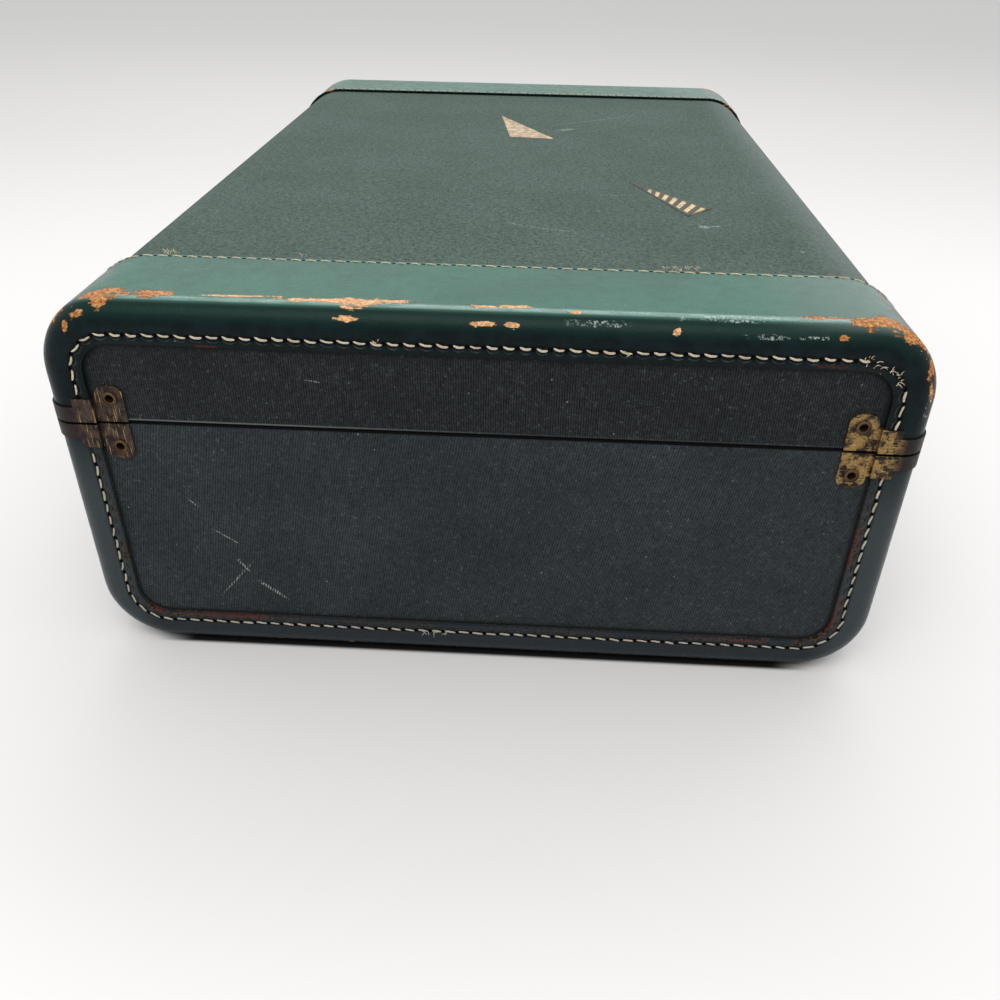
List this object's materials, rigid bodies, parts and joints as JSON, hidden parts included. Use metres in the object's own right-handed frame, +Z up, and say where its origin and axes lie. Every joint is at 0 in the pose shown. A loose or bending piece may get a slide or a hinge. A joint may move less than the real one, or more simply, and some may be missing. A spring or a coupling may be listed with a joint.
{
  "type": "hard-shell suitcase",
  "caption": "Hard-shell suitcase lying flat: canvas-covered wooden shell with leather-bound ends, hinged lid, hasp latches, corner clips and a carrying handle.",
  "frame": {"origin": "on the resting plane, under the middle of the closed case with its handle and hinges", "axes": "+X across the case towards the hinges, +Y along the case, +Z up; the handle and latches are at -X"},
  "size_m": [0.3777, 0.5216, 0.172],
  "materials": {
    "painted_leather": "green painted cowhide, worn through to tan at its edges",
    "shell_canvas": "dark green twill canvas",
    "plywood": "three-ply birch",
    "lining_cloth": "buff rayon lining",
    "aged_brass": "stamped, tarnished",
    "dark_rivet_brass": "blackened",
    "pin_steel": "drawn wire",
    "strap_leather": "green painted strap leather"
  },
  "bodies": {
    "body": {"body_wrap_board": "plywood", "body_canvas_wrap": "shell_canvas", "body_lining": "lining_cloth", "body_near_end_board": "plywood", "body_near_end_canvas": "shell_canvas", "body_near_binding": "painted_leather", "body_far_end_board": "plywood", "body_far_end_canvas": "shell_canvas", "body_far_binding": "painted_leather", "body_clip_near_right": "aged_brass", "body_clip_far_right": "aged_brass", "body_clip_near_left": "aged_brass", "body_clip_far_left": "aged_brass", "body_clip_rivets": "dark_rivet_brass", "body_lip_near": "plywood", "body_lip_far": "plywood", "body_lip_front": "plywood", "body_lip_back": "plywood", "latch_case_near": "aged_brass", "hinge_body_leaf_near": "aged_brass", "hinge_pin_near": "pin_steel", "handle_bracket_near": "aged_brass", "handle_pin_near": "pin_steel", "latch_case_far": "aged_brass", "hinge_body_leaf_far": "aged_brass", "hinge_pin_far": "pin_steel", "handle_bracket_far": "aged_brass", "handle_pin_far": "pin_steel", "latch_case_rivets": "dark_rivet_brass", "hinge_body_rivets": "dark_rivet_brass", "handle_rivets": "dark_rivet_brass"},
    "lid": {"lid_wrap_board": "plywood", "lid_canvas_wrap": "shell_canvas", "lid_lining": "lining_cloth", "lid_near_end_board": "plywood", "lid_near_end_canvas": "shell_canvas", "lid_near_binding": "painted_leather", "lid_far_end_board": "plywood", "lid_far_end_canvas": "shell_canvas", "lid_far_binding": "painted_leather", "lid_clip_near_right": "aged_brass", "lid_clip_far_right": "aged_brass", "lid_clip_near_left": "aged_brass", "lid_clip_far_left": "aged_brass", "lid_clip_rivets": "dark_rivet_brass", "hasp_plate_near": "aged_brass", "hasp_pin_near": "pin_steel", "hinge_lid_leaf_near": "aged_brass", "hasp_plate_far": "aged_brass", "hasp_pin_far": "pin_steel", "hinge_lid_leaf_far": "aged_brass", "hasp_plate_rivets": "dark_rivet_brass", "hinge_lid_rivets": "dark_rivet_brass"},
    "handle": {"handle_core": "strap_leather", "handle_grip": "painted_leather"},
    "hasp_near": {"latch_hasp_near": "aged_brass"},
    "slide_near": {"latch_slide_near": "aged_brass"},
    "hasp_far": {"latch_hasp_far": "aged_brass"},
    "slide_far": {"latch_slide_far": "aged_brass"}
  },
  "joints": [
    {"name": "lid_hinge", "type": "hinge", "parent": "body", "child": "lid", "pos_m": [0.18425, 0, 0.11915], "axis": [0, 1, 0], "range_deg": [0, 100]},
    {"name": "handle_swing", "type": "hinge", "parent": "body", "child": "handle", "pos_m": [-0.17795, 0, 0.096], "axis": [0, 1, 0], "range_deg": [0, 168]},
    {"name": "hasp_near_swing", "type": "hinge", "parent": "lid", "child": "hasp_near", "pos_m": [-0.17745, -0.15, 0.128], "axis": [0, 1, 0], "range_deg": [0, 110]},
    {"name": "bolt_near_slide", "type": "slide", "parent": "body", "child": "slide_near", "axis": [0, 1, 0], "range_m": [0, 0.005]},
    {"name": "hasp_far_swing", "type": "hinge", "parent": "lid", "child": "hasp_far", "pos_m": [-0.17745, 0.15, 0.128], "axis": [0, 1, 0], "range_deg": [0, 110]},
    {"name": "bolt_far_slide", "type": "slide", "parent": "body", "child": "slide_far", "axis": [0, 1, 0], "range_m": [0, 0.005]}
  ]
}
